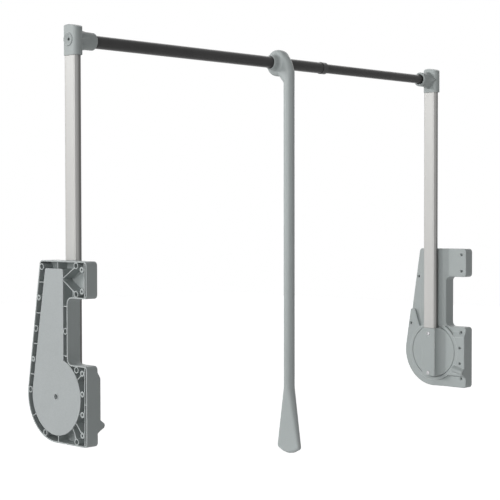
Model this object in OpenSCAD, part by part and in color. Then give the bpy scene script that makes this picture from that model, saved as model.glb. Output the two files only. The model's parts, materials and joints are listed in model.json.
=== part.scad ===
// Pull down closet rod: two sprung wall units, two arms, a two-part rod and a pull handle.
// Millimetres, +Z up. X runs along the rod from the left wall face to the right one and
// -Y points out of the wardrobe. The origin is the swing axis at the left wall face.
// Each wall unit is drawn on the left and mirrored for the right.

/* [Whole lift] */
// Distance between the two wall faces
overall_w = 1204; // [1000:2:1400]
// Height of the rod axis above the swing axis
drop_h = 670; // [450:5:900]
// How far the arms swing forward and down
swing_angle = 105; // [90:1:105]
// Clearance between pieces that slide or turn on each other
slide_gap = 0.3; // [0.2:0.05:0.5]
// Radial clearance of shafts, pins and tubes in their bores
fit_gap = 0.05; // [0.02:0.01:0.08]

/* [Housing outline] */
// Radius of the round lower end around the swing axis
shell_r = 86.5; // [80:0.5:95]
// Reach of the two screw lugs in front of the swing axis
lug_reach = 93; // [88:1:110]
// Reach of the waist between the lugs
waist_reach = 36.6; // [34:0.2:45]
// Top of the lower lug
low_lug_top = 63; // [55:1:75]
// Underside of the upper lug
high_lug_bottom = 186; // [165:1:190]
// Top of the housing
housing_top = 255; // [245:1:290]
// Rear reach of the housing at its top
top_rear = 46.5; // [42:0.5:60]
// Top of the raised pad behind the disc
rear_pad_top = 102; // [96:1:112]
// Top of the raised pad on the lower lug
lug_pad_top = 51.5; // [48:0.5:52]
// Height of the slope at the top of that pad
lug_pad_slope = 12; // [8:0.5:12]
// Radius of the lug corners
lug_corner_r = 8; // [4:0.5:12]
// Radius of the inner corners of the waist
waist_corner_r = 11; // [6:0.5:16]

/* [Housing section] */
// Depth of the lugs and waist from the wall
flange_t = 26; // [24:0.5:27.5]
// Extra depth of the raised pad around the disc
pad_rise = 6.6; // [5:0.2:7.6]
// Thickness of the moulded faces
face_t = 2.5; // [2:0.1:3.5]
// Thickness of the rim and the inner walls
wall_t = 2.4; // [1.8:0.1:3]
// Thickness of the ribs
rib_t = 1.6; // [1:0.1:2.4]
// Depth of the spring hump beyond the flange
hump_rise = 7.7; // [7.5:0.1:8]
// Half width of the flat top of the hump
hump_flat = 30; // [29.6:0.2:32]
// Width of each sloping side of the hump
hump_slope = 12; // [6:1:14]

/* [Housing posts and holes] */
// Outer radius of the hollow posts
post_r = 6.2; // [6:0.2:7]
// Bore radius of the hollow posts
post_bore_r = 4.4; // [3:0.1:5]
// Outer radius of the small screw posts
screw_post_r = 5.6; // [4.8:0.2:6]
// Radius of the wall screw holes
screw_hole_r = 2.4; // [2:0.1:2.8]
// Radius of the countersink of the wall screw holes
screw_sink_r = 4.6; // [4:0.2:5]
// Distance of the screw line in front of the swing axis
screw_line = 79; // [76:0.5:81]
// Height of the lowest wall screw hole below the swing axis
low_screw_z = 64.5; // [60:0.5:68]
// Pitch of the four lower wall screws
low_pitch = 38; // [36:0.5:38]
// Pitch of the two upper wall screws
high_pitch = 40; // [34:1:42]

/* [Cover] */
// Radius of the round part of the cover
cover_r = 73; // [71:0.5:76]
// Reach of the neck of the cover in front of the swing axis
cover_front = 22.5; // [21:0.5:26]
// Rear reach of the neck of the cover at its top
cover_rear = 31.5; // [30:0.5:36]
// Top of the cover
cover_top = 240; // [236:1:244]
// Thickness of the cover
cover_t = 2.5; // [2:0.1:3]
// Radius of the hole over the swing axis
cover_hole_r = 5; // [4:0.1:6]

/* [Hub] */
// Radius of the turning disc
disc_r = 63.5; // [60:0.5:65]
// Thickness of the housing ring that holds the disc
ring_t = 5.4; // [4.6:0.1:5.6]
// Width of the raised collar around the disc
collar_w = 8.5; // [8:0.5:10]
// Extra radius of the flange behind the disc
disc_flange = 4.5; // [3:0.5:5]
// Thickness of the flange behind the disc
disc_flange_t = 3.5; // [3:0.1:4]
// Thickness of the thrust ring between hub and housing
thrust_t = 1; // [0.6:0.1:1.2]
// Radius of the journal in the cover
journal_r = 8; // [7:0.1:9]
// Height of the arm socket above the swing axis
socket_top = 58.5; // [54:0.5:60]
// Depth of the arm socket below the swing axis
socket_bottom = 60; // [54:0.5:60]
// Wall of the arm socket in front of the arm
socket_wall = 1.5; // [1.2:0.1:3]

/* [Arms] */
// Width of the arm tube, front to back
arm_w = 35; // [30:0.5:36]
// Thickness of the arm tube
arm_t = 17; // [14:0.5:18]
// Corner radius of the arm tube
arm_r = 6; // [3:0.5:7]
// Wall of the arm tube
arm_wall = 1.6; // [1:0.1:2.2]
// Distance of the arm centre from the wall face
arm_x = 44; // [44:0.5:50]

/* [Connectors] */
// Wall of the connector in front of the arm
connector_front = 4.8; // [3:0.2:6]
// Wall of the connector behind the arm
connector_wall = 2; // [2:0.2:4]
// Wall of the connector on the flat sides of the arm
connector_side = 2; // [1.6:0.1:2]
// Height of the connector above the rod axis
connector_top = 28.5; // [25:0.5:34]
// Depth of the connector below the rod axis
connector_bottom = 29.5; // [24:0.5:34]
// Rise of the rounded top of the connector
connector_dome = 5; // [3:0.5:7]
// Distance of the neck end from the arm centre
neck_end = 48.5; // [40:0.5:60]
// Radius of the neck at its lip
neck_lip_r = 16.9; // [16:0.1:18]
// Radius of the neck at its root
neck_root_r = 17.4; // [17:0.1:18]

/* [Rod] */
// Diameter of the outer rod tube
outer_d = 25; // [22:0.5:26]
// Diameter of the inner rod tube
inner_d = 21; // [17:0.5:22]
// Wall of both rod tubes
tube_wall = 1.5; // [1:0.1:2]
// Distance of the end of the outer tube from the left wall face
outer_end = 760; // [600:5:800]
// Length of the plastic collar on the end of the outer tube
collar_l = 15; // [10:1:25]
// Wall of the plastic collar over the outer tube
collar_wall = 0.9; // [0.6:0.1:1.6]
// Length of the inner tube hidden in the outer tube
overlap_l = 330; // [200:5:400]

/* [Handle] */
// Distance of the handle from the left wall face
handle_x = 610; // [400:5:680]
// Length of the handle below the rod axis
handle_l = 850; // [600:10:1000]
// Radius of the eye around the rod
eye_r = 28.3; // [26:0.1:30]
// Diameter of the handle shaft
shaft_d = 23.2; // [20:0.2:24]
// Distance of the shaft in front of the rod axis
shaft_offset = 31; // [28:0.5:34]
// Half length of the eye along the rod
eye_half_l = 28; // [26:0.5:32]
// Width of the paddle at its lower end
paddle_w = 65; // [50:1:80]
// Thickness of the paddle at its lower end
paddle_t = 12; // [9:0.5:16]
// Length of the flare from shaft to paddle
flare_l = 142; // [110:2:180]
// Wall of the liner between rod and handle
liner_t = 1.2; // [1:0.1:1.8]

/* [Spring drive] */
// Distance of the crank pin from the swing axis
crank_r = 30; // [29.5:0.1:31]
// Radius of the crank pin
crank_pin_r = 3.5; // [3:0.1:4]
// Radius of the roller on the crank pin
roller_r = 5.5; // [5:0.1:6]
// Thickness of the carriage plate
carriage_t = 5; // [4:0.2:5]
// Radius of the tie rod
tie_r = 3; // [2.5:0.1:3.5]
// Outer diameter of the spring
spring_d = 24; // [20:0.2:24.4]
// Diameter of the spring wire
wire_d = 4; // [2.5:0.1:4.4]
// Number of turns of the spring
spring_turns = 14; // [8:1:16]
// Height of the spring seat above the swing axis
seat_z = 74; // [73:0.5:76]
// Thickness of the spring seat and the spring cap
seat_t = 6; // [5:0.5:7]
// Length of the spring at rest
spring_l = 142; // [138:1:142]
// Radius of the damper cylinder
damper_r = 6; // [5:0.1:6.5]
// Radius of the damper rod
damper_rod_r = 2.5; // [1.5:0.1:3]

/* [Hidden] */
$fn = 64;

// Overrun of every cut past the face that it opens
over = 1;
// Steps of a rounded corner in a drawn outline
corner_steps = 6;
// Share of a circle's radius at which a straight side runs into it, so that the two cross
cross_share = 0.9995;
// Smallest radius that a corner keeps when its outline moves inward
least_r = 0.4;

// Depths from the wall face
cover_x = 0.8;
cover_back = cover_x + cover_t;
pad_x = flange_t + pad_rise;
hump_x = flange_t + hump_rise;
ring_face_x = pad_x - ring_t;
disc_x = pad_x + slide_gap;
disc_back = ring_face_x - slide_gap - thrust_t;
flange_back = disc_back - disc_flange_t;
arm_back = arm_x - arm_t / 2;
arm_face = arm_x + arm_t / 2;
socket_face = arm_face + socket_wall;

// Housing radii
opening_r = disc_r + slide_gap + slide_gap;
flange_r = disc_r + disc_flange;
collar_r = disc_r + collar_w;
chamber_inset = slide_gap + wall_t;
recess_r = flange_r + wall_t / 2;
chamber_front = cover_front - chamber_inset;
chamber_top = cover_top - chamber_inset;
// Width over which the rear pad fades out under the disc
ring_ramp = 30;
// Rear wall of the spring space
spring_rear = 28;
lip_h = 1.5;
inside_x = cover_back + lip_h + slide_gap;

// Wall screw heights
low_screws = [for (i = [0:3]) i * low_pitch - low_screw_z];
high_screw_drop = 15;
high_screws = [housing_top - high_screw_drop - high_pitch, housing_top - high_screw_drop];

// Stop ridge on the lower lug
ridge_rise = 10.4;
ridge_w = 19;
ridge_start = disc_r + 5;

// Rod and handle places
rod_z = drop_h;
neck_x = arm_x + neck_end;
connector_back = arm_back - connector_side;
connector_face = arm_face + connector_side;
connector_floor = 6;
rod_start = connector_back + connector_floor;
inner_start = outer_end - overlap_l;
inner_end = overall_w - rod_start;
outer_r = outer_d / 2;
inner_r = inner_d / 2;
liner_r = outer_r + fit_gap + liner_t;

// Spring drive places; the crank pin swings as far above the axis as below it
crank_start = (180 - swing_angle) / 2;
crank_rise = crank_r * cos(crank_start);
travel = crank_rise + crank_rise;
swing_rad = swing_angle * PI / 180;
// Largest height difference between the crank pin and the evenly moving carriage
slope = 2 * cos(crank_start) / swing_rad;
worst_u = acos(slope);
lost_motion = crank_r * (sin(worst_u) - slope * worst_u * PI / 180);
pin_slot_half = roller_r + lost_motion + slide_gap;
carriage_x = 12;
drive_x = 17;
journal_slot = journal_r + slide_gap;
journal_reach = crank_rise + journal_slot;
carriage_edge = 5;
carriage_head = 9;
carriage_slot_top = crank_rise + journal_reach;
spring_z = seat_z + seat_t;
cap_z = spring_z + spring_l;
damper_y = 20;
damper_stop = 3;
nut_r = 5.5;
nut_h = 5;
spring_clear = 0.2;

// Direction from one point to another
function toward(a, b) = (b - a) / norm(b - a);
// The same direction turned a quarter turn to the left
function left_of(u) = [-u[1], u[0]];
function cross_size(u, v) = u[0] * v[1] - u[1] * v[0];
function at(list, i) = list[(i + len(list)) % len(list)];
// Corner i of a clockwise outline whose edges have moved inward by d times their shares
function moved_corner(points, edge_shares, i, d) =
    let (u = toward(at(points, i - 1), points[i]), v = toward(points[i], at(points, i + 1)),
        a = -left_of(u) * d * at(edge_shares, i - 1), b = -left_of(v) * d * edge_shares[i])
    points[i] + a + u * cross_size(b - a, v) / cross_size(u, v);
function moved(points, edge_shares, d) =
    [for (i = [0:len(points) - 1]) moved_corner(points, edge_shares, i, d)];
// Signed turn of a clockwise outline at corner i
function turn_at(points, i) =
    let (u = toward(at(points, i - 1), points[i]), v = toward(points[i], at(points, i + 1)))
    atan2(cross_size(u, v), u * v);
// Points of one rounded corner
function corner_arc(points, r, i) =
    let (u = toward(at(points, i - 1), points[i]), t = turn_at(points, i),
        side = left_of(u) * sign(t), start = points[i] - u * r * tan(abs(t) / 2),
        centre = start + side * r)
    r == 0 ? [points[i]] : [for (k = [0:corner_steps])
        let (a = t * k / corner_steps, w = start - centre)
        centre + [w[0] * cos(a) - w[1] * sin(a), w[0] * sin(a) + w[1] * cos(a)]];
// A clockwise outline with rounded corners; r is given at rest, before it moves inward by d
function rounded(points, radii, edge_shares, d) =
    let (p = moved(points, edge_shares, d))
    [for (i = [0:len(p) - 1]) each corner_arc(p,
        radii[i] == 0 ? 0 : max(radii[i] + sign(turn_at(p, i)) * d, least_r), i)];
// Point where a line from q nearly touches the rear of a circle around the swing axis
function touch_point(q, r) =
    let (near = r * cross_share, a = atan2(q[1], q[0]) - acos(near / norm(q)))
    near * [cos(a), sin(a)];

// Draws a side view, y to the right and z up, between two depths from the wall
module slab(from, to) {
    translate([from, 0, 0])
        rotate([90, 0, 90])
            linear_extrude(height = to - from)
                children();
}

// Places its children in the right-hand unit
module right_side() {
    translate([overall_w, 0, 0])
        mirror([1, 0, 0])
            children();
}

// A cylinder along X between two depths
module x_rod(r, from, to) {
    translate([from, 0, 0])
        rotate([0, 90, 0])
            cylinder(r = r, h = to - from);
}

module x_ring(r_out, r_in, from, to) {
    difference() {
        x_rod(r_out, from, to);
        x_rod(r_in, from - over, to + over);
    }
}

// Rectangle with exact round corners, centred
module round_rect(w, h, r) {
    square([w - r - r, h], center = true);
    square([w, h - r - r], center = true);
    for (sx = [-1, 1], sy = [-1, 1])
        translate([sx * (w / 2 - r), sy * (h / 2 - r)])
            circle(r = r);
}

// Side view of the housing, moved inward by d
module housing_outline(d) {
    bottom = -shell_r * cross_share;
    corners = [[0, bottom], [-lug_reach, bottom], [-lug_reach, low_lug_top],
        [-waist_reach, low_lug_top], [-waist_reach, high_lug_bottom],
        [-lug_reach, high_lug_bottom], [-lug_reach, housing_top], [top_rear, housing_top],
        touch_point([top_rear, housing_top], shell_r), [0, 0]];
    radii = [0, lug_corner_r, lug_corner_r, waist_corner_r, waist_corner_r, lug_corner_r,
        lug_corner_r, lug_corner_r, 0, 0];
    intersection() {
        circle(r = shell_r - d, $fn = 128);
        translate([-lug_corner_r, -shell_r - over])
            square([lug_corner_r + shell_r + over, 2 * (shell_r + over)]);
    }
    polygon(rounded(corners, radii, [1, 1, 1, 1, 1, 1, 1, 1, 0, 0], d));
}

// Side view of the cover, moved inward by d
module cover_outline(d) {
    cover_corner_r = lug_corner_r / 2;
    corners = [[-cover_front, 0], [-cover_front, cover_top], [cover_rear, cover_top],
        touch_point([cover_rear, cover_top], cover_r), [0, 0]];
    circle(r = cover_r - d, $fn = 128);
    polygon(rounded(corners, [0, cover_corner_r, cover_corner_r, 0, 0], [1, 1, 1, 0, 0], d));
}

// Raised pad on the lower lug, moved inward by d
module lug_pad(d) {
    pad_bottom = low_screw_z - screw_sink_r;
    intersection() {
        housing_outline(d);
        translate([-lug_reach - over, d - pad_bottom])
            square([lug_reach + over, pad_bottom + lug_pad_top - d - d]);
    }
}

// Cuts the pad on the lower lug so that its two ends slope
module lug_keep(drop) {
    pad_bottom = low_screw_z - screw_sink_r;
    top_x = pad_x - drop;
    low_x = flange_t - drop;
    rotate([90, 0, 0])
        linear_extrude(height = lug_reach + over)
            polygon([[-over, -pad_bottom - over], [low_x - over, -pad_bottom - over],
                [top_x, -pad_bottom + pad_rise / 2], [top_x, lug_pad_top - lug_pad_slope],
                [low_x - over, lug_pad_top + over], [-over, lug_pad_top + over]]);
}

// Raised pad behind and below the disc, with its slanted upper end, moved inward by d
module rear_pad(d) {
    edge_low = collar_r * cos(53);
    edge_lean = 15;
    intersection() {
        housing_outline(d);
        polygon([[-shell_r, -shell_r], [0, 0], [edge_low + d, low_lug_top - wall_t],
            [edge_low + edge_lean + d, rear_pad_top - d], [shell_r + over, rear_pad_top - d],
            [shell_r + over, -shell_r]]);
    }
}

// Cuts the rear pad so that it fades out under the disc
module ramp_keep(drop) {
    top_x = pad_x - drop;
    translate([0, 0, -housing_top])
        linear_extrude(height = housing_top + housing_top)
            polygon([[flange_t - over - drop, -ring_ramp], [top_x, 0],
                [top_x, shell_r + over], [-over, shell_r + over], [-over, -ring_ramp]]);
}

// Rear reach of the housing at a height above the swing axis
function rear_y(z) =
    let (top = [top_rear, housing_top], low = touch_point(top, shell_r))
    top[0] + (low[0] - top[0]) * (top[1] - z) / (top[1] - low[1]);

// Hollow posts: centres in the side view
post_inset = 2;
post_seat = post_r + post_inset;
rear_seat = post_seat - wall_t / 2;
post_set_back = 17;
post_line = screw_line - post_set_back;
rear_top_drop = 12.4;
rear_top_z = housing_top - rear_top_drop;
rear_low_z = 7;
rear_steps = 8;
rear_pitch = (rear_top_z - rear_low_z) / rear_steps;
waist_mid = (low_lug_top + high_lug_bottom) / 2;
post_ring_r = shell_r - post_seat + slide_gap;
low_post_angle = -65;
posts = [[-post_line, housing_top - post_seat], [-post_line, high_lug_bottom + post_seat],
    [-post_line, low_lug_top - post_seat], [-post_line, post_seat - shell_r],
    [rear_seat - waist_reach, waist_mid],
    [rear_y(rear_top_z) - rear_seat, rear_top_z],
    [rear_y(waist_mid) - rear_seat, waist_mid],
    [post_ring_r, rear_low_z],
    post_ring_r * [cos(low_post_angle), sin(low_post_angle)]];
// Steps of the rear pitch at the two rear screw holes, and at the ribs between them
rear_hole_steps = [2, 6];
rear_rib_steps = [1, 3, 5, 7];
rear_holes = [for (i = rear_hole_steps)
    let (z = rear_low_z + i * rear_pitch) [rear_y(z) - rear_seat, z]];
// Directions of the ribs that run out from the cover below the disc
low_rib_angles = [-31, -94];
// Places on the cover wall where the lug ribs end
brace_angles = [150, 217, 228];

// One rib in the side view, from a to b
module rib(a, b) {
    translate(a)
        rotate(atan2(b[1] - a[1], b[0] - a[0]))
            translate([0, -rib_t / 2])
                square([norm(b - a), rib_t]);
}

// Ribs between the rim and the wall around the cover
module rib_plan() {
    rib_drop = (high_lug_bottom - low_lug_top) / rear_steps;
    apex_depth = 3.5;
    apex = [apex_depth - cover_front, (housing_top + high_lug_bottom) / 2];
    front_line = -screw_line - screw_post_r;
    lug_mid = (low_screws[1] + low_screws[2]) / 2;
    braces = [[-screw_line, low_screws[3]], [-screw_line, low_screws[0]], posts[3]];
    for (i = rear_rib_steps)
        let (z = rear_low_z + i * rear_pitch)
            rib([0, z], [rear_y(z), z]);
    for (z = [high_lug_bottom - rib_drop, low_lug_top + rib_drop])
        rib([-waist_reach, z], [0, z]);
    rib([-post_r, cover_top - wall_t - over], [-post_r, housing_top]);
    for (a = low_rib_angles)
        rib([0, 0], shell_r * [cos(a), sin(a)]);
    for (i = [0, 1])
        rib(posts[i], apex);
    for (i = [0:2])
        rib(braces[i], cover_r * [cos(brace_angles[i]), sin(brace_angles[i])]);
    rib([-lug_reach, lug_mid], [front_line, lug_mid]);
    rib([front_line, -shell_r], [front_line, low_lug_top]);
    rib([front_line, high_lug_bottom], [front_line, housing_top]);
}

// Hump over the spring, seen from above
module hump() {
    base = hump_flat + hump_slope;
    skirt = base + hump_slope;
    bend_share = 0.7;
    bend_r = hump_rise * bend_share;
    profile = [[flange_t - over, skirt], [flange_t, skirt], [flange_t, base],
        [hump_x, hump_flat], [hump_x, -hump_flat], [flange_t, -base], [flange_t, -skirt],
        [flange_t - over, -skirt]];
    intersection() {
        slab(flange_t - over, hump_x)
            housing_outline(0);
        translate([0, 0, disc_r])
            linear_extrude(height = housing_top)
                polygon(rounded(profile, [0, 0, bend_r, bend_r, bend_r, bend_r, 0, 0],
                    [for (p = profile) 0], 0));
    }
}

// Ridge on the lower lug that stops the arm; drawn beside the arm at full swing
module stop_ridge() {
    rest_y = arm_w / 2 + slide_gap + slide_gap;
    ridge_x = pad_x + ridge_rise;
    quarter = ridge_w / 4;
    foot_x = pad_x - face_t / 2;
    profile = [[flange_t - over, arm_r - rest_y], [foot_x, arm_r - rest_y],
        [arm_back, arm_r / 2 - rest_y], [ridge_x - quarter / 2, -rest_y - 2 * slide_gap],
        [ridge_x, -rest_y - quarter], [ridge_x - quarter / 2, -rest_y - 2 * quarter],
        [foot_x, -rest_y - 3 * quarter], [flange_t - face_t / 2, -rest_y - ridge_w],
        [flange_t - over - face_t / 2, -rest_y - ridge_w]];
    intersection() {
        rotate([swing_angle, 0, 0])
            translate([0, 0, ridge_start])
                linear_extrude(height = lug_reach)
                    polygon(rounded(profile, [0, 0, 1, 1, 4, 1, 1, 0, 0] * least_r,
                        [for (p = profile) 0], 0));
        slab(flange_t - over, ridge_x)
            housing_outline(0);
    }
}

// Outer shape of the housing
module housing_body() {
    slab(0, flange_t)
        housing_outline(0);
    intersection() {
        slab(flange_t - over, pad_x)
            lug_pad(0);
        lug_keep(0);
    }
    intersection() {
        slab(flange_t - over, pad_x)
            rear_pad(0);
        ramp_keep(0);
    }
    slab(flange_t - over, disc_x)
        circle(r = collar_r, $fn = 128);
    hump();
    stop_ridge();
}

// Open space behind the faces, outside the spring space
module housing_hollows() {
    slab(-over, flange_t - face_t)
        housing_outline(wall_t);
    intersection() {
        slab(flange_t - face_t - over, pad_x - face_t)
            difference() {
                lug_pad(wall_t);
                circle(r = cover_r, $fn = 128);
            }
        lug_keep(face_t);
    }
    intersection() {
        slab(flange_t - face_t - over, pad_x - face_t)
            difference() {
                rear_pad(wall_t);
                circle(r = cover_r, $fn = 128);
            }
        ramp_keep(face_t);
    }
}

// Screw posts: the two beside the disc run on to the raised pad
flange_screws = [for (z = concat(high_screws, [low_screws[0], low_screws[3]])) [-screw_line, z]];
pad_screws = [for (i = [1, 2]) [-screw_line, low_screws[i]]];

// Side view of every hollow post, thinner by d
module post_plan(d) {
    for (p = posts)
        translate(p)
            circle(r = post_r - d);
    for (p = concat(flange_screws, pad_screws, rear_holes))
        translate(p)
            circle(r = screw_post_r - d);
}

// Walls, ribs and posts inside the rim, and the posts that run on, thinner, into the pads
module housing_walls() {
    inner_x = flange_t - face_t + over;
    pad_inner_x = pad_x - face_t + over;
    slab(0, inner_x)
        post_plan(0);
    intersection() {
        slab(inner_x - over - over, pad_inner_x)
            intersection() {
                lug_pad(wall_t / 2);
                post_plan(slide_gap);
            }
        lug_keep(face_t / 2);
    }
    intersection() {
        slab(inner_x - over - over, pad_inner_x)
            intersection() {
                rear_pad(wall_t / 2);
                post_plan(slide_gap);
            }
        ramp_keep(face_t / 2);
    }
    slab(rib_t, inner_x)
        intersection() {
            housing_outline(wall_t / 2);
            rib_plan();
        }
    slab(cover_back, inner_x)
        cover_outline(slide_gap);
}

// A cylinder along X at a place in the side view
module x_rod_at(r, from, to, p) {
    translate([0, p[0], p[1]])
        x_rod(r, from, to);
}

// Space for the cover, the hub, the carriage and the spring
module chamber_space() {
    spring_space_x = hump_x - face_t;
    slab(-over, cover_back)
        cover_outline(-slide_gap);
    slab(-over, flange_t - face_t)
        cover_outline(chamber_inset);
    x_rod(recess_r, -over, ring_face_x);
    slab(flange_t - face_t - over, spring_space_x)
        translate([-chamber_front, collar_r])
            square([chamber_front + spring_rear, chamber_top - collar_r]);
}

// Ledge and rear wall that carry the spring seat
module seat_rails() {
    ledge_w = 4;
    ledge_h = 4;
    rail_x = hump_x - face_t + over;
    translate([inside_x, -chamber_front - over, seat_z - ledge_h])
        cube([rail_x - inside_x, ledge_w + over, ledge_h]);
    translate([inside_x, spring_rear - ledge_w, seat_z - ledge_h])
        cube([rail_x - inside_x, ledge_w + over, ledge_h]);
    translate([inside_x, spring_rear, seat_z - ledge_h])
        cube([flange_t - face_t + over - inside_x, wall_t, chamber_top - seat_z]);
}

// A countersunk hole whose wide end is on the inner face and clears what stands beside it
module wall_screw_hole(p, face_x) {
    sink_h = screw_sink_r - screw_hole_r;
    x_rod_at(screw_hole_r, -over, face_x, p);
    translate([face_x - sink_h, p[0], p[1]])
        rotate([0, 90, 0])
            cylinder(r1 = screw_hole_r, r2 = screw_sink_r, h = sink_h);
    x_rod_at(screw_sink_r, face_x, face_x + pad_rise + over, p);
}

module housing() {
    color([0.56, 0.59, 0.58])
        difference() {
            union() {
                difference() {
                    union() {
                        difference() {
                            housing_body();
                            housing_hollows();
                            x_rod(opening_r, ring_face_x - over, hump_x + over);
                        }
                        housing_walls();
                    }
                    chamber_space();
                }
                seat_rails();
            }
            for (p = posts)
                x_rod_at(post_bore_r, -over, flange_t - face_t, p);
            for (p = concat(flange_screws, [rear_holes[1]]))
                wall_screw_hole(p, flange_t);
            for (p = concat(pad_screws, [rear_holes[0]]))
                wall_screw_hole(p, pad_x);
        }
}

// Bearing boss of the cover around the journal
bush_t = 1.5;
bush_r = journal_r + fit_gap + bush_t;
boss_wall = 3;
boss_h = 5.7;
boss_r = bush_r + boss_wall;
boss_x = cover_back + boss_h;

module cover() {
    rim_w = 2;
    lip_t = 1.2;
    color([0.66, 0.69, 0.69])
        difference() {
            union() {
                slab(cover_x, cover_back)
                    cover_outline(0);
                x_rod(cover_hole_r + rim_w, cover_x / 3, cover_back);
                x_rod(boss_r, cover_back - over, boss_x);
                slab(cover_back - over, cover_back + lip_h)
                    difference() {
                        cover_outline(chamber_inset + fit_gap);
                        cover_outline(chamber_inset + fit_gap + lip_t);
                    }
            }
            x_rod(cover_hole_r, -over, cover_back + over);
            x_rod(bush_r, cover_back, boss_x + over);
        }
}

module pivot_bush() {
    color([0.15, 0.15, 0.16])
        difference() {
            union() {
                x_rod(bush_r, cover_back, boss_x);
                x_rod(boss_r, boss_x, boss_x + thrust_t);
            }
            x_rod(journal_r + fit_gap, -over, boss_x + thrust_t + over);
        }
}

module thrust_ring() {
    color([0.15, 0.15, 0.16])
        x_ring(flange_r, disc_r + fit_gap, disc_back, disc_back + thrust_t);
}

// Places of the two arm screws above the swing axis
arm_screw_r = 2;
arm_screw_head_r = 4.6;
arm_screw_drop = 14;
arm_screw_rise = 7;
arm_screw_zs = [socket_top - arm_screw_drop, arm_screw_rise - socket_bottom];
crank_y = -crank_r * sin(crank_start);

// Side flank of the arm socket: a square with a round hollow
module socket_flank(r) {
    difference() {
        translate([-over, -over])
            square([r + over, r + over]);
        translate([r, r])
            circle(r = r, $fn = 96);
    }
}

module hub() {
    socket_half = arm_w / 2 + socket_wall;
    rise = socket_face - disc_x;
    head_ring = 2.4;
    head_recess_r = arm_screw_head_r + head_ring;
    color([0.56, 0.59, 0.58])
        difference() {
            union() {
                x_rod(disc_r, disc_back - over, disc_x);
                x_rod(flange_r, flange_back, disc_back);
                x_rod(journal_r, cover_back + slide_gap, flange_back + over);
                intersection() {
                    translate([disc_x - over, 0, -socket_bottom])
                        rotate([0, 0, 90])
                            linear_extrude(height = socket_bottom + socket_top)
                                union() {
                                    translate([-socket_half, -rise - over])
                                        square([socket_half + socket_half, rise + over]);
                                    for (s = [-1, 1])
                                        scale([s, -1])
                                            translate([socket_half, over])
                                                socket_flank(rise - over);
                                }
                    x_rod(disc_r, flange_back, socket_face);
                }
            }
            translate([arm_x, 0, 2 * socket_wall - socket_bottom])
                linear_extrude(height = socket_bottom + socket_top)
                    round_rect(arm_t + 2 * fit_gap, arm_w + 2 * fit_gap, arm_r);
            for (z = arm_screw_zs)
                x_rod_at(arm_screw_r + fit_gap, arm_face - over, socket_face + over, [0, z]);
            x_rod_at(head_recess_r, socket_face - socket_wall / 2, socket_face + over,
                [0, arm_screw_zs[0]]);
            x_rod(journal_r / 2, -over, flange_back);
            x_rod_at(crank_pin_r + fit_gap, flange_back - over, disc_back + thrust_t,
                [crank_y, crank_rise]);
        }
}

module crank_pin() {
    color([0.75, 0.75, 0.76])
        x_rod_at(crank_pin_r, carriage_x - thrust_t, disc_back + thrust_t,
            [crank_y, crank_rise]);
}

module crank_roller() {
    color([0.2, 0.2, 0.21])
        translate([0, crank_y, crank_rise])
            x_ring(roller_r, crank_pin_r + fit_gap, carriage_x - thrust_t,
                carriage_x + carriage_t + thrust_t);
}

// Plate around the journal, with the cross slot that the crank pin works in
module carriage() {
    half_w = journal_slot + carriage_edge;
    slot_front = crank_r + roller_r + slide_gap;
    slot_rear = -crank_y - roller_r - slide_gap;
    arm_half = pin_slot_half + carriage_edge;
    head_x = drive_x + tie_r + fit_gap + rib_t - slide_gap;
    color([0.62, 0.63, 0.64])
        difference() {
            union() {
                slab(carriage_x, carriage_x + carriage_t)
                    translate([0, crank_rise])
                        union() {
                            translate([-half_w, -journal_reach - carriage_edge])
                                square([2 * half_w, 2 * journal_reach + carriage_edge
                                    + carriage_head]);
                            translate([-slot_front - carriage_edge, -arm_half])
                                square([slot_front + carriage_edge, 2 * arm_half]);
                        }
                translate([carriage_x, -half_w / 2, carriage_slot_top])
                    cube([head_x - carriage_x, half_w, carriage_head]);
            }
            slab(carriage_x - over, carriage_x + carriage_t + over)
                translate([0, crank_rise])
                    union() {
                        square([2 * journal_slot, 2 * crank_rise], center = true);
                        for (s = [-1, 1])
                            translate([0, s * crank_rise])
                                circle(r = journal_slot);
                        translate([-slot_front, -pin_slot_half])
                            square([slot_front - slot_rear, 2 * pin_slot_half]);
                    }
            translate([drive_x, 0, carriage_slot_top + thrust_t])
                cylinder(r = tie_r + fit_gap, h = carriage_head);
        }
}

nut_z = cap_z + seat_t;
tie_top = nut_z + nut_h + spring_clear;

module tie_rod() {
    color([0.75, 0.75, 0.76])
        translate([drive_x, 0, carriage_slot_top + thrust_t])
            cylinder(r = tie_r, h = tie_top - carriage_slot_top - thrust_t);
}

module tie_nut() {
    color([0.75, 0.75, 0.76])
        difference() {
            translate([drive_x, 0, nut_z])
                cylinder(r = nut_r, h = nut_h, $fn = 6);
            translate([drive_x, 0, nut_z - over])
                cylinder(r = tie_r + fit_gap, h = nut_h + over + over);
        }
}

// Plate across the spring space, from one depth to another
module spring_plate(z, front, rear, side) {
    half_x = drive_x - side;
    translate([side, -front, z])
        cube([half_x + half_x, front + rear, seat_t]);
}

module spring_seat() {
    guide_r = (spring_d / 2 - wire_d) * cos(180 / rings_per_turn) - slide_gap;
    color([0.62, 0.63, 0.64])
        difference() {
            union() {
                spring_plate(seat_z, chamber_front - fit_gap, spring_rear - fit_gap, inside_x);
                translate([drive_x, 0, seat_z])
                    cylinder(r = guide_r, h = seat_t + wire_d);
            }
            translate([drive_x, 0, seat_z - over])
                cylinder(r = tie_r + slide_gap, h = seat_t + wire_d + over + over);
        }
}

module spring_cap() {
    color([0.2, 0.2, 0.21])
        difference() {
            spring_plate(cap_z, spring_d / 2, damper_y + damper_r, drive_x - spring_d / 2);
            translate([drive_x, 0, cap_z - over])
                cylinder(r = tie_r + fit_gap, h = seat_t + over + over);
            translate([drive_x, damper_y, cap_z - over])
                cylinder(r = damper_rod_r + fit_gap, h = seat_t + over + over);
        }
}

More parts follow.
